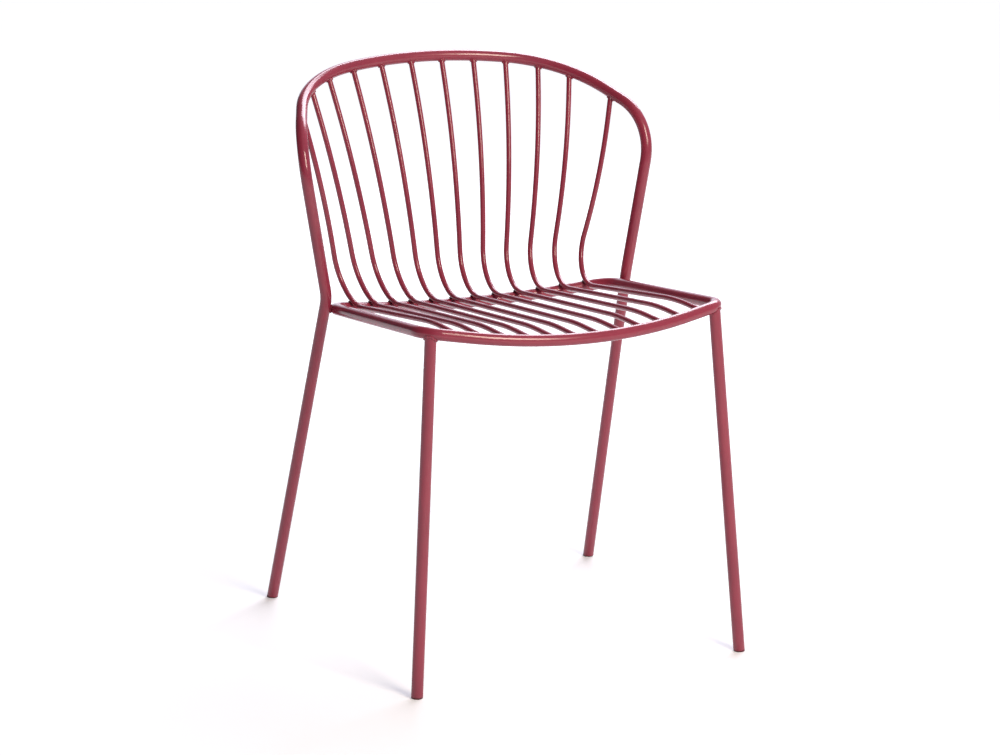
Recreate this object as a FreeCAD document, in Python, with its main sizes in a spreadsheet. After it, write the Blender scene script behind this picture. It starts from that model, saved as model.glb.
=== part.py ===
import FreeCAD, Part

import math
import os

import Sketcher
from FreeCAD import Placement, Rotation, Vector

# A bistro chair of bent steel tube. One continuous tube makes the rear legs, the uprights and the
# arched top rail; a closed ring of the same tube makes the seat frame; two straight tubes are the
# front legs. Twelve round bars run back from the front rail, over the rear rail and up to the arch,
# fanning out as they climb. Weld beads join them and plastic glides close the feet.
#
# Millimetres, +Z up. The origin is on the floor under the middle of the chair, the front faces -Y,
# and the right and left halves mirror each other across X = 0.

# The driving sizes: name, value, what it is. Bend points are where two straight runs of a
# centreline would cross, as in a tube bender's table, and are given for the +X half.
SIZES = [
    ("tube_dia", 16.0, "outer diameter of the frame tube"),
    ("tube_wall", 1.5, "wall of the frame tube"),
    ("rod_dia", 7.5, "diameter of the seat and back bars"),
    ("weld_size", 1.5, "how far a weld bead stands out from the metal that it joins"),
    ("weld_gap", 0.15, "gap left between round pieces that cross, bridged by the weld"),
    ("weld_core", 1.5, "radius of the spot at the middle of that gap that the weld doesn't reach"),
    ("front_foot_x", 239.8, "front leg axis at the floor"),
    ("front_foot_y", -254.5, "front leg axis at the floor"),
    ("rear_foot_x", 254.3, "rear leg axis at the floor"),
    ("rear_foot_y", 245.9, "rear leg axis at the floor"),
    ("knee_x", 229.5, "bend where the rear leg becomes the upright"),
    ("knee_y", 78.7, "bend where the rear leg becomes the upright"),
    ("knee_z", 471.0, "bend where the rear leg becomes the upright"),
    ("knee_radius", 60.0, "centreline radius of that bend"),
    ("shoulder_x", 266.5, "bend where the upright turns into the arch"),
    ("shoulder_y", 72.7, "bend where the upright turns into the arch"),
    ("shoulder_radius", 80.0, "centreline radius of that bend"),
    ("arch_side_x", 201.0, "bend at the side of the arch"),
    ("arch_side_y", 231.7, "bend at the side of the arch"),
    ("arch_side_radius", 169.0, "centreline radius of that bend"),
    ("crown_y", 280.7, "crossing point of the runs above the middle of the arch"),
    ("crown_z", 774.9, "crossing point of the runs above the middle of the arch"),
    ("crown_straight", 2.0, "straight run between the side bend and the crown's arc"),
    ("arch_slope", 22.8, "tilt of the arch's plane from level, in degrees"),
    ("seat_corner_x", 217.0, "front corner of the seat ring"),
    ("seat_corner_y", -229.5, "front corner of the seat ring"),
    ("seat_corner_z", 482.3, "front corner of the seat ring"),
    ("seat_corner_radius", 30.0, "centreline radius of the front corner"),
    ("leg_top_turn", 0.65, "part of the front corner's turn, from the side, where the leg joins"),
    ("leg_trim", 2.0, "how far below the ring's axis a front leg's tube ends"),
    ("front_bow_y", -288.8, "crossing point of the runs ahead of the front rail's middle"),
    ("front_bow_z", 451.7, "crossing point of the runs ahead of the front rail's middle"),
    ("front_bow_straight", 33.0, "straight run between the corner bend and the front bow"),
    ("rear_corner_y", 103.7, "rear corner of the seat ring"),
    ("rear_corner_z", 451.5, "rear corner of the seat ring"),
    ("rear_corner_radius", 40.0, "centreline radius of the rear corner"),
    ("rear_bow_y", 162.7, "crossing point of the runs behind the rear rail's middle"),
    ("rear_bow_z", 419.4, "crossing point of the runs behind the rear rail's middle"),
    ("rear_bow_straight", 9.0, "straight run between the corner bend and the rear bow"),
    ("rod_side_gap", 39.3, "from the outermost bar to the seat's front corner, sideways"),
    ("rod_sink", 0.5, "how far the bars' tops lie below the front rail's top"),
    ("seat_run", 70.0, "first run of a bar, from the front rail's axis"),
    ("seat_rise", 1.3, "how much a bar climbs over that run"),
    ("seat_radius", 500.0, "centreline radius of the soft bend behind the front rail"),
    ("hip_setback", 40.0, "bend from seat to back, behind the rear rail's axis"),
    ("hip_radius", 66.0, "centreline radius of that bend"),
    ("side_hip_radius", 56.0, "the same on the outermost bar of each side"),
    ("lumbar_height", 0.58, "place of the lumbar bend up a bar's back, as a part of its length"),
    ("lumbar_reach", 24.0, "how far that bend stands forward of a straight back"),
    ("top_straight", 22.0, "straight end of a bar below the arch"),
    ("top_pitch", 48.0, "spacing of the bars along the arch"),
    ("side_top_pitch", 76.0, "the same, from the outermost bar to its neighbour"),
    ("glide_height", 1.5, "least thickness of a glide under the tube's end"),
    ("glide_stem", 22.0, "length of the glide's stem in the tube"),
    ("glide_play", 0.4, "gap between the stem and the tube's bore"),
    ("rib_play", 0.05, "gap between the stem's ribs and the bore"),
    ("glide_edge", 1.0, "bevel round the glide's sole"),
]

SHEET = "Sizes"
ROD_COUNT = 12
STEM_RIBS = 3
SOLVER_STEPS = 40
SOLVER_REACH = 60.0
# Reach of cutting planes and boxes: larger than the chair.
REACH = 2000.0
# Runs shorter than this are left out of a centreline.
TINY = 0.001
VOLUME_TOLERANCE = 0.002
# Half the size of the box round a crossing that parts its weld bead from the bar's other beads.
CROSSING_ROOM = Vector(20, 40, 40)

doc = FreeCAD.newDocument("Chair")


def make_sheet():
    """The table of driving sizes, one alias for each."""
    sheet = doc.addObject("Spreadsheet::Sheet", SHEET)
    for row, (name, value, meaning) in enumerate(SIZES, start=1):
        sheet.set("A%d" % row, name)
        sheet.set("B%d" % row, str(value))
        sheet.set("C%d" % row, meaning)
        sheet.setAlias("B%d" % row, name)
    doc.recompute()
    return sheet


sheet = make_sheet()


def size(name):
    return float(getattr(sheet, name))


def mirrored(point):
    return Vector(-point.x, point.y, point.z)


def unit(vector):
    return Vector(vector).normalize()


# Centrelines


class Bend:
    """A bend point of a centreline: where the runs would cross, and the arc that joins them."""

    def __init__(self, before, point, after, radius=None, tangent=None):
        self.points = (before, point, after)
        self.inward = unit(point - before)
        self.outward = unit(after - point)
        self.turn = self.inward.getAngle(self.outward)
        half_turn = math.tan(self.turn / 2)
        if tangent is None:
            tangent = radius * half_turn
        self.tangent = tangent
        self.radius = tangent / half_turn
        self.start = point - self.inward * tangent
        self.end = point + self.outward * tangent
        self.across = unit(self.outward - self.inward * math.cos(self.turn))
        self.centre = self.start + self.across * self.radius

    def at(self, part):
        """The point of the arc after this part of its turn."""
        angle = self.turn * part
        offset = self.inward * math.sin(angle) - self.across * math.cos(angle)
        return self.centre + offset * self.radius

    def edge(self):
        return Part.Arc(self.start, self.at(0.5), self.end).toShape()

    def mirrored(self):
        """The same bend on the other half, where the centreline runs the other way."""
        before, point, after = self.points
        return Bend(mirrored(after), mirrored(point), mirrored(before), tangent=self.tangent)


def runs_and_arcs(start, bends, end):
    """Edges from start to end: straight runs joined by the bends."""
    edges = []
    place = start
    for bend in bends:
        if place.distanceToPoint(bend.start) > TINY:
            edges.append(Part.LineSegment(place, bend.start).toShape())
        edges.append(bend.edge())
        place = bend.end
    if place.distanceToPoint(end) > TINY:
        edges.append(Part.LineSegment(place, end).toShape())
    return edges


def wire_of(start, bends, end):
    return Part.Wire(runs_and_arcs(start, bends, end))


def nearest(shape, other):
    """Least distance of two shapes."""
    return shape.distToShape(other)[0]


def nearest_points(shape, other):
    """The points where two shapes come nearest, one on each."""
    return shape.distToShape(other)[1][0]


def solve(distance_at, wanted, start, reach):
    """The value between start and start + reach at which a growing distance becomes wanted."""
    low = start
    high = start + reach
    for _ in range(SOLVER_STEPS):
        middle = (low + high) / 2
        if distance_at(middle) < wanted:
            low = middle
        else:
            high = middle
    return high


def point_along(edges, distance):
    """The point this far along a chain of edges."""
    for edge in edges:
        if distance <= edge.Length:
            return edge.valueAt(edge.getParameterByLength(distance))
        distance -= edge.Length
    raise ValueError("the chain of edges is too short")


def point_at_x(wire, x):
    """The point where a wire crosses the plane at this distance to the side."""
    corner = Vector(x, -REACH / 2, 0)
    plane = Part.makePlane(REACH, REACH, corner, Vector(1, 0, 0), Vector(0, 1, 0))
    return nearest_points(wire, plane)[0]


def tube_end(foot, up, glide_height):
    """The point of a leg's axis where its tube is cut square, clear of the floor."""
    lean = up.getAngle(Vector(0, 0, 1))
    height = glide_height + size("tube_dia") / 2 * math.sin(lean)
    return foot + up * (height / math.cos(lean))


def arch_z(y):
    """Height of the arch's tilted plane."""
    slope = math.tan(math.radians(size("arch_slope")))
    return size("crown_z") + slope * (y - size("crown_y"))


class BackTube:
    """Centreline of the tube that makes the rear legs, the uprights and the arch."""

    def __init__(self):
        foot = Vector(size("rear_foot_x"), size("rear_foot_y"), 0)
        knee = Vector(size("knee_x"), size("knee_y"), size("knee_z"))
        shoulder_y = size("shoulder_y")
        side_y = size("arch_side_y")
        shoulder = Vector(size("shoulder_x"), shoulder_y, arch_z(shoulder_y))
        side = Vector(size("arch_side_x"), side_y, arch_z(side_y))
        crown = Vector(0, size("crown_y"), size("crown_z"))
        self.up = unit(knee - foot)
        self.start = tube_end(foot, self.up, size("glide_height"))
        rising = [
            Bend(foot, knee, shoulder, size("knee_radius")),
            Bend(knee, shoulder, side, size("shoulder_radius")),
            Bend(shoulder, side, crown, size("arch_side_radius")),
        ]
        room = crown.distanceToPoint(rising[-1].end) - size("crown_straight")
        top = Bend(side, crown, mirrored(side), tangent=room)
        falling = [bend.mirrored() for bend in reversed(rising)]
        end = mirrored(self.start)
        self.wire = wire_of(self.start, rising + [top] + falling, end)
        half_top = Part.Arc(top.at(0.5), top.at(0.75), top.end).toShape()
        self.falling_half = [half_top] + runs_and_arcs(top.end, falling, end)

    def point_from_crown(self, distance):
        """The point of the +X half this far along the tube from the middle of the arch."""
        return mirrored(point_along(self.falling_half, distance))


class SeatRing:
    """Centreline of the closed seat ring, as wide at the rear as meets the uprights inside."""

    def __init__(self, back):
        wanted = size("tube_dia") + size("weld_gap")

        def clearance(rear_corner_x):
            self.lay_out(rear_corner_x)
            return nearest(self.side, back.wire)

        self.lay_out(solve(clearance, wanted, size("knee_x"), -SOLVER_REACH))
        self.contact = nearest_points(self.side, back.wire)

    def lay_out(self, rear_corner_x):
        front = Vector(size("seat_corner_x"), size("seat_corner_y"), size("seat_corner_z"))
        rear = Vector(rear_corner_x, size("rear_corner_y"), size("rear_corner_z"))
        front_bow = Vector(0, size("front_bow_y"), size("front_bow_z"))
        rear_bow = Vector(0, size("rear_bow_y"), size("rear_bow_z"))
        front_corner = Bend(rear, front, front_bow, size("seat_corner_radius"))
        rear_corner = Bend(rear_bow, rear, front, size("rear_corner_radius"))
        front_room = front_bow.distanceToPoint(front_corner.end) - size("front_bow_straight")
        rear_room = rear_bow.distanceToPoint(rear_corner.start) - size("rear_bow_straight")
        front_arc = Bend(front, front_bow, mirrored(front), tangent=front_room)
        rear_arc = Bend(mirrored(rear), rear_bow, rear, tangent=rear_room)
        around = [rear_corner, front_corner, front_arc]
        around += [front_corner.mirrored(), rear_corner.mirrored(), rear_arc]
        start = rear_corner.start
        left_start = mirrored(start)
        left_end = mirrored(front_corner.end)
        self.front_corner = front_corner
        self.wire = wire_of(start, around, start)
        self.side = wire_of(start, [rear_corner, front_corner], front_corner.end)
        self.front = wire_of(front_corner.start, [front_corner, front_arc], left_end)
        self.rear = wire_of(left_start, [rear_arc, rear_corner], rear_corner.end)


class RodLine:
    """Centreline of one bar on the +X side; place counts from 0 at the chair's middle."""

    def __init__(self, place, ring, back):
        tube_radius = size("tube_dia") / 2
        rod_radius = size("rod_dia") / 2
        count = ROD_COUNT / 2
        half_width = size("seat_corner_x") - size("rod_side_gap")
        outermost = place == count - 1
        self.x = half_width * (place + 0.5) / (count - 0.5)
        rail = point_at_x(ring.front, self.x)
        cross = point_at_x(ring.rear, self.x)
        lift = tube_radius - rod_radius - size("rod_sink")
        self.start = rail + Vector(0, 0, lift)
        self.front_bend = self.start + Vector(0, size("seat_run"), size("seat_rise"))
        distance = size("top_pitch") * (place + 0.5)
        if outermost:
            distance += size("side_top_pitch") - size("top_pitch")
        self.end = back.point_from_crown(distance)
        self.hip_y = cross.y + size("hip_setback")
        self.hip_radius = size("side_hip_radius") if outermost else size("hip_radius")
        wanted = tube_radius + rod_radius + size("weld_gap")

        def clearance(hip_z):
            return nearest(self.wire_over(hip_z), ring.rear)

        hip_z = solve(clearance, wanted, cross.z - tube_radius, SOLVER_REACH)
        self.wire = self.wire_over(hip_z)
        self.contact = nearest_points(self.wire, ring.rear)

    def wire_over(self, hip_z):
        hip = Vector(self.x, self.hip_y, hip_z)
        back = self.end - hip
        lumbar = hip + back * size("lumbar_height") - Vector(0, size("lumbar_reach"), 0)
        hip_bend = Bend(self.front_bend, hip, lumbar, self.hip_radius)
        above = lumbar.distanceToPoint(self.end) - size("top_straight")
        below = lumbar.distanceToPoint(hip_bend.end)
        lumbar_bend = Bend(hip, lumbar, self.end, tangent=min(above, below))
        front_bend = Bend(self.start, self.front_bend, hip, size("seat_radius"))
        return wire_of(self.start, [front_bend, hip_bend, lumbar_bend], self.end)


# Shapes


def sheet_value(expression):
    """Text of an expression with each name of the table put in its place."""
    words = expression.split(" ")
    names = [name for name, _, _ in SIZES]
    return " ".join(SHEET + "." + word if word in names else word for word in words)


def bind(thing, setting, expression):
    thing.setExpression(setting, sheet_value(expression))


def upright_to(direction):
    return Rotation(Vector(0, 0, 1), direction)


def add_sweep(name, wire, radius):
    """A round solid along a centreline; radius is an expression of the table's names."""
    path = doc.addObject("Part::Feature", name + "_path")
    path.Shape = wire
    first = wire.OrderedEdges[0]
    start = first.valueAt(first.FirstParameter)
    direction = first.tangentAt(first.FirstParameter)
    profile = doc.addObject("Part::Circle", name + "_profile")
    bind(profile, "Radius", radius)
    profile.Placement = Placement(start, upright_to(direction))
    sweep = doc.addObject("Part::Sweep", name)
    sweep.Sections = [profile]
    sweep.Spine = (path, ["Edge%d" % number for number in range(1, len(wire.Edges) + 1)])
    sweep.Solid = True
    sweep.Frenet = False
    return sweep


def add_bar(name, start, direction, length, radius):
    """A round straight solid."""
    bar = doc.addObject("Part::Cylinder", name)
    bind(bar, "Radius", radius)
    bar.Height = length
    bar.Placement = Placement(start, upright_to(direction))
    return bar


def add_box(name, low, high):
    box = doc.addObject("Part::Box", name)
    box.Length = high.x - low.x
    box.Width = high.y - low.y
    box.Height = high.z - low.z
    box.Placement = Placement(low, Rotation())
    return box


def add_cut(name, base, *tools):
    """The base less each of the tools."""
    for number, tool in enumerate(tools, start=1):
        last = number == len(tools)
        cut = doc.addObject("Part::Cut", name if last else "%s_step_%d" % (name, number))
        cut.Base = base
        cut.Tool = tool
        base = cut
    return base


def add_common(name, base, tool):
    common = doc.addObject("Part::Common", name)
    common.Base = base
    common.Tool = tool
    return common


def add_mirror(name, source):
    mirror = doc.addObject("Part::Mirroring", name)
    mirror.Source = source
    mirror.Base = Vector(0, 0, 0)
    mirror.Normal = Vector(1, 0, 0)
    return mirror


def add_group(name, members):
    group = doc.addObject("Part::Compound", name)
    group.Links = members
    return group


def revolved_outline(name, corners):
    """A body turned about its Z axis from corners, each a radius and a height expression."""
    body = doc.addObject("PartDesign::Body", name)
    sketch = body.newObject("Sketcher::SketchObject", name + "_sketch")
    planes = [plane for plane in body.Origin.OriginFeatures if plane.Role == "XZ_Plane"]
    sketch.AttachmentSupport = (planes[0], [""])
    sketch.MapMode = "FlatFace"
    points = []
    for radius, height in corners:
        values = [float(sketch.evalExpression(sheet_value(text))) for text in (radius, height)]
        points.append(Vector(values[0], values[1], 0))
    for point, following in zip(points, points[1:] + points[:1]):
        sketch.addGeometry(Part.LineSegment(point, following))
    for number in range(len(points)):
        following = (number + 1) % len(points)
        sketch.addConstraint(Sketcher.Constraint("Coincident", number, 2, following, 1))
    for number, (radius, height) in enumerate(corners):
        for kind, text, value in (
            ("DistanceX", radius, points[number].x),
            ("DistanceY", height, points[number].y),
        ):
            constraint = Sketcher.Constraint(kind, -1, 1, number, 1, value)
            index = sketch.addConstraint(constraint)
            sketch.setExpression("Constraints[%d]" % index, sheet_value(text))
    revolution = body.newObject("PartDesign::Revolution", name + "_turned")
    revolution.Profile = sketch
    revolution.ReferenceAxis = (sketch, ["V_Axis"])
    revolution.Angle = 360
    return body


# Pieces


def make_frame_tube(name, wire):
    """A hollow tube; returns it with its outside as a full round and with its weld's reach."""
    outside = add_sweep(name + "_outside", wire, "tube_dia / 2")
    bore = add_sweep(name + "_bore", wire, "tube_dia / 2 - tube_wall")
    reach = add_sweep(name + "_weld_reach", wire, "tube_dia / 2 + weld_size")
    return add_cut(name, outside, bore), outside, reach


def make_front_leg(ring, ring_outside, ring_reach):
    """The right front leg, coped to the underside of the ring's corner, and its weld."""
    foot = Vector(size("front_foot_x"), size("front_foot_y"), 0)
    joint = ring.front_corner.at(size("leg_top_turn"))
    up = unit(joint - foot)
    start = tube_end(foot, up, size("glide_height"))
    length = start.distanceToPoint(joint) - size("leg_trim")
    outside = add_bar("leg_outside", start, up, length, "tube_dia / 2")
    bore = add_bar("leg_bore", start, up, length, "tube_dia / 2 - tube_wall")
    hollow = add_cut("leg_tube", outside, bore)
    leg = add_cut("front_leg_right", hollow, ring_outside)
    reach = add_bar("leg_weld_reach", start, up, length, "tube_dia / 2 + weld_size")
    meeting = add_common("leg_weld_region", reach, ring_reach)
    bead = add_cut("leg_weld", meeting, ring_outside, outside)
    return start, up, leg, bead


def make_glide(name, tube_start, up):
    """A glide for one leg: a ribbed stem in the bore and a head cut flat on the floor."""
    lean = up.getAngle(Vector(0, 0, 1))
    head_depth = tube_start.z / math.cos(lean) + size("tube_dia") * math.tan(lean)
    stem = "tube_dia / 2 - tube_wall - glide_play"
    rib = "tube_dia / 2 - tube_wall - rib_play"
    head = "%.6f" % -head_depth
    corners = [("0", head), ("tube_dia / 2", head), ("tube_dia / 2", "0"), (stem, "0")]
    for number in range(1, STEM_RIBS + 1):
        root = "glide_stem * %d / %d" % (number, STEM_RIBS + 1)
        tip = "glide_stem * %.1f / %d" % (number + 0.5, STEM_RIBS + 1)
        corners += [(stem, root), (rib, root), (stem, tip)]
    corners += [(stem, "glide_stem - glide_edge"), (stem + " - glide_edge", "glide_stem")]
    corners += [("0", "glide_stem")]
    blank = revolved_outline(name + "_blank", corners)
    blank.Placement = Placement(tube_start, upright_to(up))
    around = Vector(size("tube_dia"), size("tube_dia"), 0)
    ground = Vector(tube_start.x, tube_start.y, 0)
    floor = add_box(name + "_floor", ground - around - Vector(0, 0, REACH), ground + around)
    flat = add_cut(name + "_flat", blank, floor)
    doc.recompute()
    glide = doc.addObject("Part::Chamfer", name)
    glide.Base = flat
    sole = [
        number
        for number, edge in enumerate(flat.Shape.Edges, start=1)
        if abs(edge.BoundBox.ZMax) < TINY
    ]
    glide.Edges = [(number, size("glide_edge"), size("glide_edge")) for number in sole]
    return glide


def make_rod(place, ring, back, ring_tools, back_tools):
    """One bar of the +X side with its weld beads: on top, on the rear rail, on the front rail."""
    ring_outside, ring_reach = ring_tools
    back_outside, back_reach = back_tools
    line = RodLine(place, ring, back)
    name = "bar_%d" % place
    outside = add_sweep(name + "_round", line.wire, "rod_dia / 2")
    reach = add_sweep(name + "_weld_reach", line.wire, "rod_dia / 2 + weld_size")
    rod = add_cut(name, outside, ring_outside, back_outside)
    top_region = add_common(name + "_top_region", reach, back_reach)
    top_bead = add_cut(name + "_top_bead", top_region, back_outside, outside)
    seat_region = add_common(name + "_seat_region", reach, ring_reach)
    seat_beads = add_cut(name + "_seat_beads", seat_region, ring_outside, outside)
    bead_room = Vector(size("rod_dia"), 0, size("rod_dia"))
    low = line.start - bead_room
    high = line.start + Vector(size("rod_dia"), size("seat_run") / 2, 0)
    front_box = add_box(name + "_front_box", low, high)
    front_bead = add_common(name + "_front_bead", seat_beads, front_box)
    on_rod, on_ring = line.contact
    core = add_bar(name + "_core", on_ring, on_rod - on_ring, size("tube_dia"), "weld_core")
    rear_box = add_box(name + "_rear_box", on_ring - CROSSING_ROOM, on_ring + CROSSING_ROOM)
    rear_region = add_common(name + "_rear_region", seat_beads, rear_box)
    rear_bead = add_cut(name + "_rear_bead", rear_region, core)
    return rod, top_bead, rear_bead, front_bead


def make_upright_welds(ring, ring_tools, back_tools):
    """The beads that join the seat ring to the uprights, right and left."""
    ring_outside, ring_reach = ring_tools
    back_outside, back_reach = back_tools
    meeting = add_common("upright_weld_region", ring_reach, back_reach)
    on_ring, on_back = ring.contact
    away = on_back - on_ring
    core = add_bar("upright_core_right", on_ring, away, size("tube_dia"), "weld_core")
    other = add_mirror("upright_core_left", core)
    return add_cut("upright_welds", meeting, ring_outside, back_outside, core, other)


def make_chair():
    """Every piece of the chair, as a dictionary of objects by the names of their files."""
    back = BackTube()
    ring = SeatRing(back)
    back_tube, back_outside, back_reach = make_frame_tube("back", back.wire)
    ring_tube, ring_outside, ring_reach = make_frame_tube("ring", ring.wire)
    ring_tools = (ring_outside, ring_reach)
    back_tools = (back_outside, back_reach)
    leg_start, leg_up, leg, leg_bead = make_front_leg(ring, ring_outside, ring_reach)
    pieces = {"back_hoop": back_tube, "seat_ring": ring_tube, "front_leg_right": leg}
    pieces["front_leg_left"] = add_mirror("front_leg_left", leg)
    pieces["leg_welds"] = add_group("leg_welds", [leg_bead, add_mirror("leg_weld_left", leg_bead)])
    pieces["upright_welds"] = make_upright_welds(ring, ring_tools, back_tools)
    for name, start, up in (
        ("glide_front", leg_start, leg_up),
        ("glide_rear", back.start, back.up),
    ):
        glide = make_glide(name + "_right", start, up)
        pieces[name + "_right"] = glide
        pieces[name + "_left"] = add_mirror(name + "_left", glide)
    beads = {"rod_top_welds": [], "rod_rear_welds": [], "rod_front_welds": []}
    for place in range(ROD_COUNT // 2):
        rod, *rod_beads = make_rod(place, ring, back, ring_tools, back_tools)
        right_number = ROD_COUNT // 2 + 1 + place
        left_number = ROD_COUNT // 2 - place
        pieces["rod_%02d" % right_number] = rod
        pieces["rod_%02d" % left_number] = add_mirror("bar_left_%d" % place, rod)
        for group, bead in zip(beads, rod_beads):
            beads[group] += [bead, add_mirror(bead.Name + "_left", bead)]
    for group, members in beads.items():
        pieces[group] = add_group(group, members)
    return pieces


def check_document():
    for thing in doc.Objects:
        if "Invalid" in thing.State or "Error" in thing.State:
            raise RuntimeError("%s failed: %s" % (thing.Name, thing.State))


def check_sweeps():
    """Each swept round has the volume of its section times its centreline's length."""
    for thing in doc.Objects:
        if thing.TypeId == "Part::Sweep":
            radius = thing.Sections[0].Radius.Value
            expected = math.pi * radius**2 * thing.Spine[0].Shape.Length
            if abs(thing.Shape.Volume / expected - 1) > VOLUME_TOLERANCE:
                raise RuntimeError("%s has the wrong volume" % thing.Name)


def export(pieces):
    os.makedirs("parts", exist_ok=True)
    for label, piece in pieces.items():
        piece.Label = label
        shape = piece.Shape
        if shape.isNull() or not shape.isValid() or not shape.Solids:
            raise RuntimeError("%s has no sound shape" % label)
    for label, piece in pieces.items():
        piece.Shape.exportStep(os.path.join("parts", label + ".step"))
        box = piece.Shape.optimalBoundingBox()
        text = "%-18s solids %2d volume %10.1f  X %.1f..%.1f  Y %.1f..%.1f  Z %.1f..%.1f"
        sides = (box.XMin, box.XMax, box.YMin, box.YMax, box.ZMin, box.ZMax)
        print(text % ((label, len(piece.Shape.Solids), piece.Shape.Volume) + sides))


pieces = make_chair()
doc.recompute()
check_document()
check_sweeps()
export(pieces)
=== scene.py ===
"""Looks of the metal bistro chair: its powder coat, weld beads, feet and the studio round it."""

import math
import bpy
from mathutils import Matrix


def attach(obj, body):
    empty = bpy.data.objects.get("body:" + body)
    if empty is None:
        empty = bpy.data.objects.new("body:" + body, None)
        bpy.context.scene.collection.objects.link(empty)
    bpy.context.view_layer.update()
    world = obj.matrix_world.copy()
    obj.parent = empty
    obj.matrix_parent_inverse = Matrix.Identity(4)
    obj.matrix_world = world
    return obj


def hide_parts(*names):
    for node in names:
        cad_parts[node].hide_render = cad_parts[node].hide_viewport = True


bl_info = {
    "name": "Metal bistro chair",
    "version": (1, 0, 0),
    "blender": (4, 5, 0),
    "location": "View3D > Sidebar > Chair",
    "description": "Coats the chair's frame and bars, lays its weld beads and lights it in a studio",
    "category": "Object",
}

import bpy
import bmesh
from mathutils import Vector

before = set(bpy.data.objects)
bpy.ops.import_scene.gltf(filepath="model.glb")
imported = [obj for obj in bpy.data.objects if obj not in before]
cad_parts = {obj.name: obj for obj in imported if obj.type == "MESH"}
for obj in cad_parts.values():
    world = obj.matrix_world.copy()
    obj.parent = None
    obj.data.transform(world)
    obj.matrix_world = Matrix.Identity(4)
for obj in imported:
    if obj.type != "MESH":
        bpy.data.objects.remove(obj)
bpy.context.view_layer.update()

MILLIMETRE = 0.001
TUBES = ("back_hoop", "seat_ring", "front_leg_left", "front_leg_right")
BARS = tuple("rod_%02d" % number for number in range(1, 13))
GLIDES = ("glide_front_left", "glide_front_right", "glide_rear_left", "glide_rear_right")

# Each group of beads: the solids that it stands for, the direction that its joints face, how
# rough the torch left it beside the others, and whether it gets painted shade, a darker and
# duller coat that stands in for the shadow in its crevice.
BEADS = {
    "leg_weld_beads": ("leg_welds", (0.0, 0.0, 1.0), 1.25, False),
    "upright_weld_beads": ("upright_welds", (1.0, 0.0, 0.0), 1.1, False),
    "bar_top_beads": ("rod_top_welds", (0.0, 0.3, 0.95), 0.8, False),
    "bar_rear_beads": ("rod_rear_welds", (0.0, -0.2, 0.98), 1.0, True),
    "bar_front_beads": ("rod_front_welds", (0.0, 1.0, 0.0), 0.8, False),
}

# How near two points lie to count as one: the corners of triangles, then the seams of a bead.
CORNER_GAP = 0.002 * MILLIMETRE
SEAM_GAP = 0.01 * MILLIMETRE

# Directions from the chair, in degrees round from its front, -Y, towards +X, and upwards.
KEY_WAY = (10, 36)
RIM_WAY = (135, 42)
DARK_WAY = (-112, 12)
BACKDROP_WAY = (152, 12)

# The cosines of the angles from those directions at which a patch of light or shade ends and
# at which it is full.
DARK_EDGES = (-0.05, 0.6)
BACKDROP_EDGES = (0.87, 0.95)

# The lamps' widths and heights, their colours, how far off they stand and the point they face.
KEY_SIZE = (1.0, 1.5)
RIM_SIZE = (2.2, 1.6)
KEY_COLOUR = (1.0, 0.85, 0.7)
RIM_COLOUR = (0.93, 0.91, 1.0)
LAMP_DISTANCE = 3.4
LAMP_TARGET = (0.0, 0.0, 0.42)

SKY_COLOUR = (0.86, 0.86, 1.0, 1.0)
WHITE = (1.0, 1.0, 1.0, 1.0)
FLOOR_RADIUS = 40.0
FLOOR_SIDES = 96

# The camera: its place, its angles in degrees downwards and round, the width of its sensor in
# millimetres, and how far it sees.
CAMERA_PLACE = (-1.785591, -3.904697, 1.361763)
CAMERA_TILT = 13.214
CAMERA_TURN = 24.522
CAMERA_SENSOR = 36.0
CAMERA_REACH = 200.0

# The step from one node to the next across and down a tree.
GRID = (200, -160)

# A colour Mix node's own sockets, because those of its other types have the same names.
MIX_FIRST = 6
MIX_SECOND = 7
MIX_RESULT = 2


# Sizes and colours


class CoatSettings(bpy.types.PropertyGroup):
    """The baked powder coat on every steel piece."""

    colour: bpy.props.FloatVectorProperty(
        name="Colour",
        description="Wine red of the coat where it is even",
        default=(0.295, 0.034, 0.06),
        size=3,
        min=0.0,
        max=1.0,
        subtype="COLOR",
    )
    deep_colour: bpy.props.FloatVectorProperty(
        name="Deep colour",
        description="Wine red where the powder lies thicker",
        default=(0.24, 0.025, 0.049),
        size=3,
        min=0.0,
        max=1.0,
        subtype="COLOR",
    )
    roughness: bpy.props.FloatProperty(
        name="Roughness",
        description="Roughness of the satin surface",
        default=0.18,
        min=0.0,
        max=1.0,
        subtype="FACTOR",
    )
    peel_size: bpy.props.FloatProperty(
        name="Peel size",
        description="Width of the ripples that powder leaves when it melts",
        default=0.0022,
        min=0.0001,
        max=0.02,
        unit="LENGTH",
    )
    peel_depth: bpy.props.FloatProperty(
        name="Peel depth",
        description="Height of those ripples",
        default=0.00003,
        min=0.0,
        max=0.001,
        precision=5,
        unit="LENGTH",
    )
    rub: bpy.props.FloatProperty(
        name="Rub",
        description="How much clothes and hands have smoothed the faces that look up",
        default=0.12,
        min=0.0,
        max=1.0,
        subtype="FACTOR",
    )


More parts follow.
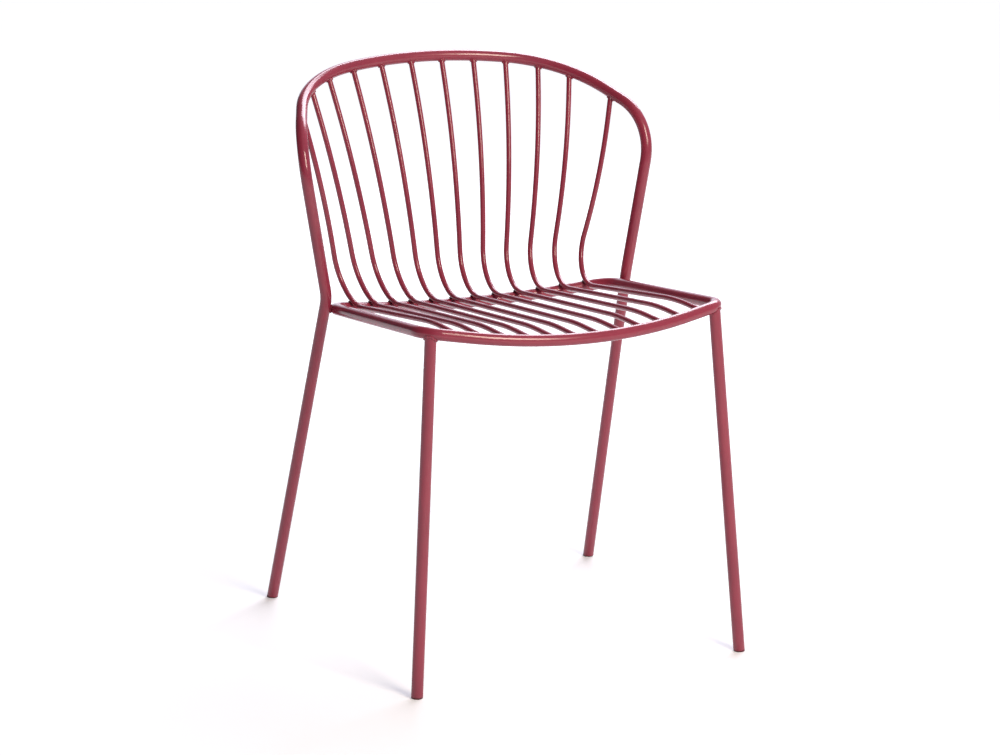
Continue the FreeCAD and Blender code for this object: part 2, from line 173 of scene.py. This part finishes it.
class BeadSettings(bpy.types.PropertyGroup):
    """The weld beads under the coat."""

    grain: bpy.props.FloatProperty(
        name="Grain",
        description="Step of the mesh that rounds a bead off",
        default=0.00035,
        min=0.0002,
        max=0.002,
        precision=5,
        unit="LENGTH",
    )
    swell: bpy.props.FloatProperty(
        name="Swell",
        description="How far a bead runs over the metal on each side",
        default=0.0003,
        min=0.0,
        max=0.002,
        precision=5,
        unit="LENGTH",
    )
    ripple_depth: bpy.props.FloatProperty(
        name="Ripple depth",
        description="Height of the ripples that the torch leaves along a bead",
        default=0.00016,
        min=0.0,
        max=0.001,
        precision=5,
        unit="LENGTH",
    )
    lump_depth: bpy.props.FloatProperty(
        name="Lump depth",
        description="Height of a bead's uneven lumps",
        default=0.0004,
        min=0.0,
        max=0.002,
        precision=5,
        unit="LENGTH",
    )
    # Painted shade: darkens the coat of the beads where the bars cross the rear rail, standing in
    # for the shadow in that crevice.
    painted_shade: bpy.props.FloatProperty(
        name="Painted shade",
        description="How dark and dull the painted shade makes the coat of the beads in crevices",
        default=0.75,
        min=0.0,
        max=1.0,
        subtype="FACTOR",
    )
    seed: bpy.props.IntProperty(
        name="Seed",
        description="Fixed start of the uneven lumps",
        default=7,
        min=0,
    )


class GlideSettings(bpy.types.PropertyGroup):
    """The plastic glides under the feet."""

    colour: bpy.props.FloatVectorProperty(
        name="Colour",
        description="Dark wine of the moulded plastic",
        default=(0.11, 0.014, 0.022),
        size=3,
        min=0.0,
        max=1.0,
        subtype="COLOR",
    )
    roughness: bpy.props.FloatProperty(
        name="Roughness",
        description="Roughness of the plastic",
        default=0.55,
        min=0.0,
        max=1.0,
        subtype="FACTOR",
    )
    scuffed_colour: bpy.props.FloatVectorProperty(
        name="Scuffed colour",
        description="Paler wine where the floor has scuffed the plastic",
        default=(0.30, 0.20, 0.20),
        size=3,
        min=0.0,
        max=1.0,
        subtype="COLOR",
    )
    worn_height: bpy.props.FloatProperty(
        name="Worn height",
        description="How far up the floor has scuffed a glide",
        default=0.0012,
        min=0.0,
        max=0.01,
        precision=4,
        unit="LENGTH",
    )


class StudioSettings(bpy.types.PropertyGroup):
    """The floor, the lights and the camera."""

    floor_colour: bpy.props.FloatVectorProperty(
        name="Floor colour",
        description="Plain pale floor",
        default=(0.83, 0.84, 0.845),
        size=3,
        min=0.0,
        max=1.0,
        subtype="COLOR",
    )
    floor_lift: bpy.props.FloatProperty(
        name="Floor lift",
        description="Glow that brings the far floor up to white, for the camera and reflections",
        default=0.7,
        min=0.0,
        max=1.0,
        subtype="FACTOR",
    )
    near_lift: bpy.props.FloatProperty(
        name="Near lift",
        description="The same glow under the chair, where its shadows stay",
        default=0.2,
        min=0.0,
        max=1.0,
        subtype="FACTOR",
    )
    lift_reach: bpy.props.FloatVectorProperty(
        name="Lift reach",
        description="Distances from the chair between which the glow grows",
        default=(0.5, 3.5),
        size=2,
        min=0.0,
        unit="LENGTH",
    )
    sky: bpy.props.FloatProperty(
        name="Surroundings",
        description="Strength of the even light from all round",
        default=0.56,
        min=0.0,
        max=2.0,
    )
    key: bpy.props.FloatProperty(
        name="Key light",
        description="Power of the warm lamp in front",
        default=86.0,
        min=0.0,
        unit="POWER",
    )
    rim: bpy.props.FloatProperty(
        name="Rim light",
        description="Power of the cool wide lamp behind, on the viewer's right",
        default=102.0,
        min=0.0,
        unit="POWER",
    )
    backdrop: bpy.props.FloatProperty(
        name="Backdrop",
        description="Strength of the lit backdrop behind the chair, on the viewer's right",
        default=1.2,
        min=0.0,
        max=10.0,
    )
    dark_side: bpy.props.FloatProperty(
        name="Dark side",
        description="How much darker the surroundings are on the viewer's left",
        default=0.85,
        min=0.0,
        max=1.0,
        subtype="FACTOR",
    )
    lens: bpy.props.FloatProperty(
        name="Lens",
        description="Focal length of the camera",
        default=114.592,
        min=10.0,
        max=400.0,
        unit="CAMERA",
    )


# Node helpers


def add_node(tree, kind, place, **settings):
    """A node at a place in the tree's grid, with its settings."""
    node = tree.nodes.new(kind)
    node.location = (place[0] * GRID[0], place[1] * GRID[1])
    for name, value in settings.items():
        setattr(node, name, value)
    return node


def feed(tree, socket, value):
    """Links a socket to an output, or sets its own value."""
    if isinstance(value, bpy.types.NodeSocket):
        tree.links.new(value, socket)
    else:
        socket.default_value = value


def calculate(tree, operation, place, *values, clamp=False):
    """The output of a Math node."""
    node = add_node(tree, "ShaderNodeMath", place, operation=operation, use_clamp=clamp)
    for number, value in enumerate(values):
        feed(tree, node.inputs[number], value)
    return node.outputs[0]


def calculate_vector(tree, operation, place, *values, scale=None):
    """A Vector Math node, with its inputs fed."""
    node = add_node(tree, "ShaderNodeVectorMath", place, operation=operation)
    for number, value in enumerate(values):
        feed(tree, node.inputs[number], value)
    if scale is not None:
        feed(tree, node.inputs["Scale"], scale)
    return node


def spread(tree, place, value, old, new=(0.0, 1.0)):
    """The value mapped from one range to another."""
    node = add_node(tree, "ShaderNodeMapRange", place)
    feed(tree, node.inputs["Value"], value)
    for name, (low, high) in (("From", old), ("To", new)):
        node.inputs[name + " Min"].default_value = low
        node.inputs[name + " Max"].default_value = high
    return node.outputs["Result"]


def noise(tree, place, vector, scale, detail=2.0, roughness=0.5):
    """The value of a noise pattern."""
    node = add_node(tree, "ShaderNodeTexNoise", place)
    feed(tree, node.inputs["Vector"], vector)
    feed(tree, node.inputs["Scale"], scale)
    node.inputs["Detail"].default_value = detail
    node.inputs["Roughness"].default_value = roughness
    return node.outputs["Fac"]


def mix_colours(tree, place, factor, first, second):
    """The output of a Mix node between two plain colours."""
    node = add_node(tree, "ShaderNodeMix", place, data_type="RGBA")
    feed(tree, node.inputs["Factor"], factor)
    node.inputs[MIX_FIRST].default_value = (*first, 1.0)
    node.inputs[MIX_SECOND].default_value = (*second, 1.0)
    return node.outputs[MIX_RESULT]


def object_place(tree, place):
    """The point's place on its object."""
    return add_node(tree, "ShaderNodeTexCoord", place).outputs["Object"]


def add_socket(tree, name, kind, into="INPUT", default=None):
    """Adds a named socket to a node group."""
    socket = tree.interface.new_socket(name=name, in_out=into, socket_type=kind)
    if default is not None:
        socket.default_value = default


def place_group(tree, group, place, **values):
    """A node group in a tree, with its inputs fed by name."""
    node = add_node(tree, "ShaderNodeGroup", place)
    node.node_tree = group
    for name, value in values.items():
        feed(tree, node.inputs[name.replace("_", " ").capitalize()], value)
    return node


# Effects that several finishes share


def powder_texture():
    """Melted powder: fine ripples, a slow wave under them, and uneven tone and gloss."""
    specks_per_ripple = 3.1
    wave_height = 0.6
    speck_height = 0.12
    speck_tone = 0.35
    patches_per_metre = 14.0
    tone_range = (0.45, 0.95)
    patch_range = (0.3, 0.7)
    gloss_range = (-0.04, 0.04)
    group = bpy.data.node_groups.new("Powder texture", "ShaderNodeTree")
    add_socket(group, "Peel size", "NodeSocketFloat", default=0.0016)
    add_socket(group, "Wave size", "NodeSocketFloat", default=0.012)
    add_socket(group, "Height", "NodeSocketFloat", "OUTPUT")
    add_socket(group, "Tone", "NodeSocketFloat", "OUTPUT")
    add_socket(group, "Gloss", "NodeSocketFloat", "OUTPUT")
    given = add_node(group, "NodeGroupInput", (0, 0))
    made = add_node(group, "NodeGroupOutput", (7, 0))
    place = object_place(group, (0, 2))
    fine = calculate(group, "DIVIDE", (1, 0), 1.0, given.outputs["Peel size"])
    slow = calculate(group, "DIVIDE", (1, 1), 1.0, given.outputs["Wave size"])
    ripples = noise(group, (2, 0), place, fine, detail=2.0, roughness=0.45)
    wave = noise(group, (2, 1), place, slow, detail=1.0)
    speck_scale = calculate(group, "MULTIPLY", (2, 2), fine, specks_per_ripple)
    specks = noise(group, (3, 2), place, speck_scale, detail=1.0)
    both = calculate(group, "MULTIPLY_ADD", (4, 0), wave, wave_height, ripples)
    height = calculate(group, "MULTIPLY_ADD", (5, 0), specks, speck_height, both)
    patch = noise(group, (3, 3), place, patches_per_metre, detail=3.0)
    uneven = calculate(group, "MULTIPLY_ADD", (4, 2), specks, speck_tone, patch)
    group.links.new(height, made.inputs["Height"])
    tone = spread(group, (5, 2), uneven, tone_range)
    group.links.new(tone, made.inputs["Tone"])
    gloss = spread(group, (5, 3), patch, patch_range, gloss_range)
    group.links.new(gloss, made.inputs["Gloss"])
    return group


def rubbed_faces():
    """Where clothes and hands have smoothed the coat: patches of the faces that look up."""
    upward_range = (0.35, 0.95)
    patch_range = (0.42, 0.68)
    group = bpy.data.node_groups.new("Rubbed faces", "ShaderNodeTree")
    add_socket(group, "Patch size", "NodeSocketFloat", default=0.03)
    add_socket(group, "Amount", "NodeSocketFloat", default=0.35)
    add_socket(group, "Mask", "NodeSocketFloat", "OUTPUT")
    given = add_node(group, "NodeGroupInput", (0, 0))
    made = add_node(group, "NodeGroupOutput", (6, 0))
    place = object_place(group, (0, 1))
    normal = add_node(group, "ShaderNodeNewGeometry", (0, 2)).outputs["Normal"]
    parts = add_node(group, "ShaderNodeSeparateXYZ", (1, 2))
    group.links.new(normal, parts.inputs[0])
    upward = spread(group, (2, 2), parts.outputs["Z"], upward_range)
    scale = calculate(group, "DIVIDE", (1, 0), 1.0, given.outputs["Patch size"])
    patches = noise(group, (2, 0), place, scale, detail=4.0, roughness=0.6)
    patchy = spread(group, (3, 0), patches, patch_range)
    together = calculate(group, "MULTIPLY", (4, 0), patchy, upward)
    mask = calculate(group, "MULTIPLY", (5, 0), together, given.outputs["Amount"])
    group.links.new(mask, made.inputs["Mask"])
    return group


def shared(name, make):
    """A shared node group, built the first time that it is asked for."""
    return bpy.data.node_groups.get(name) or make()


# Finishes


def new_material(name):
    """A material with an empty tree, its surface shader and its output."""
    material = bpy.data.materials.new(name)
    material.use_nodes = True
    tree = material.node_tree
    tree.nodes.clear()
    output = add_node(tree, "ShaderNodeOutputMaterial", (9, 0))
    surface = add_node(tree, "ShaderNodeBsdfPrincipled", (8, 0))
    tree.links.new(surface.outputs["BSDF"], output.inputs["Surface"])
    return material, tree, surface


def add_bump(tree, surface, place, height, distance, strength):
    """Raises the surface by a height pattern."""
    bump = add_node(tree, "ShaderNodeBump", place)
    bump.inputs["Distance"].default_value = distance
    bump.inputs["Strength"].default_value = strength
    tree.links.new(height, bump.inputs["Height"])
    tree.links.new(bump.outputs["Normal"], surface.inputs["Normal"])


def powder_coat(name, peel_scale=1.0, relief=1.0, painted_shade=0.0):
    """Satin powder coat; the factors suit it to tube, bar or bead; the last darkens and dulls it as
    painted shade.
    """
    coat = bpy.context.scene.chair_coat
    rub_gloss = 0.12
    shade_dulls = 0.4
    bump_strength = 0.6
    material, tree, surface = new_material(name)
    texture = place_group(
        tree,
        shared("Powder texture", powder_texture),
        (2, 0),
        peel_size=coat.peel_size * peel_scale,
    )
    rubbed = place_group(
        tree,
        shared("Rubbed faces", rubbed_faces),
        (2, 2),
        amount=coat.rub,
    )
    # Painted shade: both wine colours are darkened by the shade amount, for the shadow in a crevice.
    deep = [part * (1.0 - painted_shade) for part in coat.deep_colour]
    even = [part * (1.0 - painted_shade) for part in coat.colour]
    wine = mix_colours(tree, (4, 0), texture.outputs["Tone"], deep, even)
    tree.links.new(wine, surface.inputs["Base Color"])
    smoothed = calculate(tree, "MULTIPLY", (4, 2), rubbed.outputs["Mask"], -rub_gloss)
    base = calculate(tree, "ADD", (5, 2), smoothed, coat.roughness + shade_dulls * painted_shade)
    roughness = calculate(tree, "ADD", (6, 2), base, texture.outputs["Gloss"], clamp=True)
    tree.links.new(roughness, surface.inputs["Roughness"])
    surface.inputs["IOR"].default_value = 1.5
    depth = coat.peel_depth * relief
    add_bump(tree, surface, (7, 3), texture.outputs["Height"], depth, bump_strength)
    return material


def moulded_plastic(name):
    """Matt moulded plastic with a fine spark texture, scuffed where it slides on the floor."""
    glide = bpy.context.scene.chair_glides
    spark_scale = 2600.0
    stroke_scale = (900.0, 260.0, 900.0)
    stroke_range = (0.5, 0.66)
    scuff_dulls = 0.2
    scuff_depth = 0.8
    relief = 0.00006
    bump_strength = 0.5
    material, tree, surface = new_material(name)
    place = object_place(tree, (0, 0))
    parts = add_node(tree, "ShaderNodeSeparateXYZ", (1, 2))
    tree.links.new(place, parts.inputs[0])
    spark = noise(tree, (2, 0), place, spark_scale, detail=2.0)
    low = spread(tree, (2, 2), parts.outputs["Z"], (glide.worn_height, 0.0))
    stretch = calculate_vector(tree, "MULTIPLY", (1, 3), place, stroke_scale)
    strokes = noise(tree, (2, 3), stretch.outputs[0], 1.0, detail=3.0, roughness=0.7)
    cut = spread(tree, (3, 3), strokes, stroke_range)
    scuff = calculate(tree, "MULTIPLY", (4, 3), cut, low, clamp=True)
    wine = mix_colours(tree, (5, 0), scuff, glide.colour, glide.scuffed_colour)
    tree.links.new(wine, surface.inputs["Base Color"])
    duller = calculate(tree, "MULTIPLY", (5, 2), scuff, scuff_dulls)
    roughness = calculate(tree, "ADD", (6, 2), duller, glide.roughness, clamp=True)
    tree.links.new(roughness, surface.inputs["Roughness"])
    cuts = calculate(tree, "MULTIPLY", (5, 3), scuff, -scuff_depth)
    height = calculate(tree, "ADD", (6, 3), cuts, spark)
    add_bump(tree, surface, (7, 3), height, relief, bump_strength)
    return material


def coat_nodes(names, material):
    """Gives CAD nodes a finish on every material slot."""
    for name in names:
        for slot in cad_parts[name].material_slots:
            slot.material = material


# Pieces


def bead_tree():
    """Rounds a weld's solids off into beads with torch ripples and uneven lumps."""
    band_steps = 2.0
    skin_threshold = 0.3
    tree = bpy.data.node_groups.new("Weld beads", "GeometryNodeTree")
    add_socket(tree, "Geometry", "NodeSocketGeometry")
    for name, kind, default in (
        ("Grain", "NodeSocketFloat", 0.00035),
        ("Swell", "NodeSocketFloat", 0.0003),
        ("Ripple depth", "NodeSocketFloat", 0.00016),
        ("Ripples round", "NodeSocketFloat", 14.0),
        ("Lump depth", "NodeSocketFloat", 0.0004),
        ("Lump size", "NodeSocketFloat", 0.003),
        ("Joint axis", "NodeSocketVector", (0.0, 0.0, 1.0)),
        ("Seed", "NodeSocketFloat", 7.0),
    ):
        add_socket(tree, name, kind, default=default)
    add_socket(tree, "Finish", "NodeSocketMaterial")
    add_socket(tree, "Geometry", "NodeSocketGeometry", "OUTPUT")
    given = add_node(tree, "NodeGroupInput", (0, 0))
    made = add_node(tree, "NodeGroupOutput", (12, 0))
    merged = add_node(tree, "GeometryNodeMergeByDistance", (1, 0))
    merged.inputs["Distance"].default_value = SEAM_GAP
    tree.links.new(given.outputs["Geometry"], merged.inputs["Geometry"])
    normal = add_node(tree, "GeometryNodeInputNormal", (1, 2)).outputs["Normal"]
    outwards = calculate_vector(tree, "SCALE", (2, 2), normal, scale=given.outputs["Swell"])
    swollen = add_node(tree, "GeometryNodeSetPosition", (2, 0))
    tree.links.new(merged.outputs["Geometry"], swollen.inputs["Geometry"])
    tree.links.new(outwards.outputs[0], swollen.inputs["Offset"])
    volume = add_node(tree, "GeometryNodeMeshToVolume", (3, 0), resolution_mode="VOXEL_SIZE")
    tree.links.new(swollen.outputs["Geometry"], volume.inputs["Mesh"])
    tree.links.new(given.outputs["Grain"], volume.inputs["Voxel Size"])
    band = calculate(tree, "MULTIPLY", (3, 2), given.outputs["Grain"], band_steps)
    tree.links.new(band, volume.inputs["Interior Band Width"])
    skin = add_node(tree, "GeometryNodeVolumeToMesh", (4, 0), resolution_mode="VOXEL_SIZE")
    tree.links.new(volume.outputs["Volume"], skin.inputs["Volume"])
    tree.links.new(given.outputs["Grain"], skin.inputs["Voxel Size"])
    skin.inputs["Threshold"].default_value = skin_threshold
    height = bead_height(tree, given)
    rise = calculate_vector(tree, "SCALE", (8, 2), normal, scale=height)
    shaped = add_node(tree, "GeometryNodeSetPosition", (9, 0))
    tree.links.new(skin.outputs["Mesh"], shaped.inputs["Geometry"])
    tree.links.new(rise.outputs[0], shaped.inputs["Offset"])
    smooth = add_node(tree, "GeometryNodeSetShadeSmooth", (10, 0))
    tree.links.new(shaped.outputs["Geometry"], smooth.inputs["Geometry"])
    realized = add_node(tree, "GeometryNodeRealizeInstances", (10, 1))
    tree.links.new(smooth.outputs["Geometry"], realized.inputs["Geometry"])
    finished = add_node(tree, "GeometryNodeSetMaterial", (11, 0))
    tree.links.new(realized.outputs["Geometry"], finished.inputs["Geometry"])
    tree.links.new(given.outputs["Finish"], finished.inputs["Material"])
    tree.links.new(finished.outputs["Geometry"], made.inputs["Geometry"])
    return tree


def bead_height(tree, given):
    """How far each point of a bead rises: ripples round its own joint, and lumps."""
    noise_middle = 0.5
    position = add_node(tree, "GeometryNodeInputPosition", (4, 4)).outputs["Position"]
    island = add_node(tree, "GeometryNodeInputMeshIsland", (4, 5)).outputs["Island Index"]
    total = add_node(tree, "GeometryNodeAccumulateField", (5, 4), data_type="FLOAT_VECTOR")
    feed(tree, total.inputs["Value"], position)
    feed(tree, total.inputs["Group ID"], island)
    count = add_node(tree, "GeometryNodeAccumulateField", (5, 5), data_type="FLOAT")
    feed(tree, count.inputs["Value"], 1.0)
    feed(tree, count.inputs["Group ID"], island)
    share = calculate(tree, "DIVIDE", (6, 5), 1.0, count.outputs["Total"])
    centre = calculate_vector(tree, "SCALE", (6, 4), total.outputs["Total"], scale=share)
    away = calculate_vector(tree, "SUBTRACT", (7, 4), position, centre.outputs[0])
    facing = add_node(tree, "FunctionNodeAlignRotationToVector", (6, 6), axis="Z")
    feed(tree, facing.inputs["Vector"], given.outputs["Joint axis"])
    back = add_node(tree, "FunctionNodeInvertRotation", (7, 6))
    feed(tree, back.inputs["Rotation"], facing.outputs["Rotation"])
    turned = add_node(tree, "FunctionNodeRotateVector", (8, 4))
    feed(tree, turned.inputs["Vector"], away.outputs[0])
    feed(tree, turned.inputs["Rotation"], back.outputs["Rotation"])
    parts = add_node(tree, "ShaderNodeSeparateXYZ", (9, 4))
    feed(tree, parts.inputs[0], turned.outputs["Vector"])
    angle = calculate(tree, "ARCTAN2", (10, 4), parts.outputs["Y"], parts.outputs["X"])
    wave = calculate(tree, "MULTIPLY", (11, 4), angle, given.outputs["Ripples round"])
    ripple = calculate(tree, "SINE", (12, 4), wave)
    ripples = calculate(tree, "MULTIPLY", (13, 4), ripple, given.outputs["Ripple depth"])
    scale = calculate(tree, "DIVIDE", (6, 8), 1.0, given.outputs["Lump size"])
    lumps = add_node(tree, "ShaderNodeTexNoise", (7, 8), noise_dimensions="4D")
    feed(tree, lumps.inputs["Vector"], position)
    feed(tree, lumps.inputs["W"], given.outputs["Seed"])
    feed(tree, lumps.inputs["Scale"], scale)
    uneven = calculate(tree, "SUBTRACT", (8, 8), lumps.outputs["Fac"], noise_middle)
    lumpy = calculate(tree, "MULTIPLY", (9, 8), uneven, given.outputs["Lump depth"])
    return calculate(tree, "ADD", (14, 4), ripples, lumpy)


def merged_copy(name, node):
    """A new object with a copy of a CAD node's mesh, its loose triangles joined."""
    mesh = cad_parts[node].data.copy()
    mesh.name = name
    mesh.materials.clear()
    work = bmesh.new()
    work.from_mesh(mesh)
    bmesh.ops.remove_doubles(work, verts=work.verts, dist=CORNER_GAP)
    bmesh.ops.recalc_face_normals(work, faces=work.faces)
    work.to_mesh(mesh)
    work.free()
    thing = bpy.data.objects.new(name, mesh)
    bpy.context.scene.collection.objects.link(thing)
    return thing


def run_tree(thing, tree, values):
    """Runs a Geometry Nodes tree on an object and keeps the result as its plain mesh."""
    modifier = thing.modifiers.new(tree.name, "NODES")
    modifier.node_group = tree
    for socket in tree.interface.items_tree:
        if socket.item_type == "SOCKET" and socket.in_out == "INPUT" and socket.name in values:
            modifier[socket.identifier] = values[socket.name]
    graph = bpy.context.evaluated_depsgraph_get()
    mesh = bpy.data.meshes.new_from_object(thing.evaluated_get(graph))
    thing.modifiers.remove(modifier)
    old = thing.data
    thing.data = mesh
    mesh.name = thing.name
    bpy.data.meshes.remove(old)
    if not mesh.polygons:
        raise RuntimeError("%s came out empty" % thing.name)


# Operators


class CHAIR_OT_coat_frame(bpy.types.Operator):
    """Coat the hoop, the seat ring and the front legs"""

    bl_idname = "chair.coat_frame"
    bl_label = "Coat the frame"

    def execute(self, context):
        coat_nodes(TUBES, powder_coat("Wine coat on tube"))
        return {"FINISHED"}


class CHAIR_OT_coat_bars(bpy.types.Operator):
    """Coat the twelve bars of the seat and back"""

    bl_idname = "chair.coat_bars"
    bl_label = "Coat the bars"

    def execute(self, context):
        coat_nodes(BARS, powder_coat("Wine coat on bar", peel_scale=0.8))
        return {"FINISHED"}


class CHAIR_OT_lay_beads(bpy.types.Operator):
    """Lay the weld beads at the legs, the uprights and the bars"""

    bl_idname = "chair.lay_beads"
    bl_label = "Lay the weld beads"

    def execute(self, context):
        bead = context.scene.chair_beads
        peel = {"peel_scale": 1.3, "relief": 1.6}
        finish = powder_coat("Wine coat on weld", **peel)
        # Painted shade: a darker, duller coat for the beads under the bars, standing in for the
        # shadow there.
        shaded_coat = powder_coat("Wine coat with painted shade", painted_shade=bead.painted_shade, **peel)
        tree = bead_tree()
        for name, (node, axis, rough, gets_painted_shade) in BEADS.items():
            thing = merged_copy(name, node)
            values = {
                "Grain": bead.grain,
                "Swell": bead.swell,
                "Ripple depth": bead.ripple_depth * rough,
                "Lump depth": bead.lump_depth * rough,
                "Joint axis": axis,
                "Seed": float(bead.seed),
                "Finish": shaded_coat if gets_painted_shade else finish,
            }
            run_tree(thing, tree, values)
            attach(thing, "root")
            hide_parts(node)
        return {"FINISHED"}


class CHAIR_OT_finish_glides(bpy.types.Operator):
    """Give the four glides their moulded plastic"""

    bl_idname = "chair.finish_glides"
    bl_label = "Finish the glides"

    def execute(self, context):
        coat_nodes(GLIDES, moulded_plastic("Dark wine plastic"))
        return {"FINISHED"}


def make_floor(studio):
    """A wide plain floor, white to the camera and in reflections but for the chair's shadows."""
    work = bmesh.new()
    bmesh.ops.create_circle(work, cap_ends=True, segments=FLOOR_SIDES, radius=FLOOR_RADIUS)
    mesh = bpy.data.meshes.new("studio_floor")
    work.to_mesh(mesh)
    work.free()
    floor = bpy.data.objects.new("studio_floor", mesh)
    bpy.context.scene.collection.objects.link(floor)
    material = bpy.data.materials.new("Studio floor")
    material.use_nodes = True
    tree = material.node_tree
    tree.nodes.clear()
    output = add_node(tree, "ShaderNodeOutputMaterial", (4, 0))
    shade = add_node(tree, "ShaderNodeBsdfDiffuse", (1, 0))
    shade.inputs["Color"].default_value = (*studio.floor_colour, 1.0)
    path = add_node(tree, "ShaderNodeLightPath", (-1, 2))
    place = object_place(tree, (-2, 3))
    reach = calculate_vector(tree, "LENGTH", (-1, 3), place).outputs["Value"]
    lift = (studio.near_lift, studio.floor_lift)
    amount = spread(tree, (0, 3), reach, studio.lift_reach, lift)
    direct, mirrored = path.outputs["Is Camera Ray"], path.outputs["Is Glossy Ray"]
    either = calculate(tree, "MAXIMUM", (0, 2), direct, mirrored)
    seen = calculate(tree, "MULTIPLY", (1, 2), either, amount)
    lifted = add_node(tree, "ShaderNodeEmission", (2, 2))
    tree.links.new(seen, lifted.inputs["Strength"])
    both = add_node(tree, "ShaderNodeAddShader", (3, 0))
    tree.links.new(shade.outputs[0], both.inputs[0])
    tree.links.new(lifted.outputs[0], both.inputs[1])
    tree.links.new(both.outputs[0], output.inputs["Surface"])
    mesh.materials.append(material)


def toward(way):
    """The unit vector of a direction that is given in degrees round and up."""
    around, up = (math.radians(angle) for angle in way)
    return (math.sin(around) * math.cos(up), -math.cos(around) * math.cos(up), math.sin(up))


def soft_patch(tree, row, direction, way, edges, strength):
    """A strength that is full towards one way and fades to nothing round it."""
    facing = calculate_vector(tree, "DOT_PRODUCT", (1, row), direction, toward(way))
    amount = spread(tree, (2, row), facing.outputs["Value"], edges)
    amount.node.interpolation_type = "SMOOTHSTEP"
    return calculate(tree, "MULTIPLY", (3, row), amount, strength)


def light_surroundings(studio):
    """Soft light, dim towards -X and bright behind towards +X; the camera sees it as white."""
    world = bpy.data.worlds.new("Studio")
    bpy.context.scene.world = world
    world.use_nodes = True
    tree = world.node_tree
    tree.nodes.clear()
    output = add_node(tree, "ShaderNodeOutputWorld", (9, 0))
    direction = add_node(tree, "ShaderNodeTexCoord", (0, 1)).outputs["Generated"]
    shade = studio.dark_side * studio.sky
    dim = soft_patch(tree, 1, direction, DARK_WAY, DARK_EDGES, shade)
    lit = soft_patch(tree, 3, direction, BACKDROP_WAY, BACKDROP_EDGES, studio.backdrop)
    even = calculate(tree, "SUBTRACT", (5, 1), studio.sky, dim)
    strength = calculate(tree, "ADD", (6, 1), even, lit)
    soft = add_node(tree, "ShaderNodeBackground", (8, 0))
    soft.inputs["Color"].default_value = SKY_COLOUR
    tree.links.new(strength, soft.inputs["Strength"])
    seen = add_node(tree, "ShaderNodeBackground", (8, 1))
    seen.inputs["Color"].default_value = WHITE
    seen.inputs["Strength"].default_value = 1.0
    path = add_node(tree, "ShaderNodeLightPath", (7, 3))
    pick = add_node(tree, "ShaderNodeMixShader", (9, 1))
    tree.links.new(path.outputs["Is Camera Ray"], pick.inputs[0])
    tree.links.new(soft.outputs[0], pick.inputs[1])
    tree.links.new(seen.outputs[0], pick.inputs[2])
    tree.links.new(pick.outputs[0], output.inputs["Surface"])


def add_lamp(name, way, size, colour, power):
    """A soft rectangular lamp that looks at the chair."""
    lamp = bpy.data.lights.new(name, "AREA")
    lamp.shape = "RECTANGLE"
    lamp.size, lamp.size_y = size
    lamp.energy = power
    lamp.color = colour
    target = Vector(LAMP_TARGET)
    place = target + Vector(toward(way)) * LAMP_DISTANCE
    thing = bpy.data.objects.new(name, lamp)
    thing.location = place
    thing.rotation_euler = (target - place).to_track_quat("-Z", "Y").to_euler()
    bpy.context.scene.collection.objects.link(thing)


def make_camera(studio):
    """The camera at the photograph's viewing angle."""
    camera = bpy.data.cameras.new("photo_camera")
    camera.sensor_fit = "HORIZONTAL"
    camera.sensor_width = CAMERA_SENSOR
    camera.lens = studio.lens
    camera.clip_end = CAMERA_REACH
    thing = bpy.data.objects.new("photo_camera", camera)
    thing.location = CAMERA_PLACE
    thing.rotation_euler = (math.radians(90 - CAMERA_TILT), 0.0, math.radians(-CAMERA_TURN))
    bpy.context.scene.collection.objects.link(thing)
    bpy.context.scene.camera = thing


class CHAIR_OT_set_stage(bpy.types.Operator):
    """Set the floor, the lights and the camera"""

    bl_idname = "chair.set_stage"
    bl_label = "Set the studio"

    def execute(self, context):
        studio = context.scene.chair_studio
        make_floor(studio)
        light_surroundings(studio)
        add_lamp("key_lamp", KEY_WAY, KEY_SIZE, KEY_COLOUR, studio.key)
        add_lamp("rim_lamp", RIM_WAY, RIM_SIZE, RIM_COLOUR, studio.rim)
        make_camera(studio)
        context.scene.view_settings.view_transform = "Standard"
        return {"FINISHED"}


class CHAIR_PT_panel(bpy.types.Panel):
    """Sizes, colours and steps of the chair"""

    bl_idname = "CHAIR_PT_panel"
    bl_label = "Chair"
    bl_space_type = "VIEW_3D"
    bl_region_type = "UI"
    bl_category = "Chair"

    def draw(self, context):
        layout = self.layout
        scene = context.scene
        for title, settings, operators in (
            ("Coat", scene.chair_coat, ("chair.coat_frame", "chair.coat_bars")),
            ("Weld beads", scene.chair_beads, ("chair.lay_beads",)),
            ("Glides", scene.chair_glides, ("chair.finish_glides",)),
            ("Studio", scene.chair_studio, ("chair.set_stage",)),
        ):
            box = layout.box()
            box.label(text=title)
            for name in settings.__annotations__:
                box.prop(settings, name)
            for operator in operators:
                box.operator(operator)


SETTINGS = {
    "chair_coat": CoatSettings,
    "chair_beads": BeadSettings,
    "chair_glides": GlideSettings,
    "chair_studio": StudioSettings,
}
CLASSES = (
    *SETTINGS.values(),
    CHAIR_OT_coat_frame,
    CHAIR_OT_coat_bars,
    CHAIR_OT_lay_beads,
    CHAIR_OT_finish_glides,
    CHAIR_OT_set_stage,
    CHAIR_PT_panel,
)


def register():
    for kind in CLASSES:
        bpy.utils.register_class(kind)
    for name, kind in SETTINGS.items():
        setattr(bpy.types.Scene, name, bpy.props.PointerProperty(type=kind))


def unregister():
    for name in SETTINGS:
        delattr(bpy.types.Scene, name)
    for kind in reversed(CLASSES):
        bpy.utils.unregister_class(kind)


def main():
    register()
    bpy.ops.chair.coat_frame()
    bpy.ops.chair.coat_bars()
    bpy.ops.chair.lay_beads()
    bpy.ops.chair.finish_glides()
    bpy.ops.chair.set_stage()


if __name__ == "__main__":
    main()
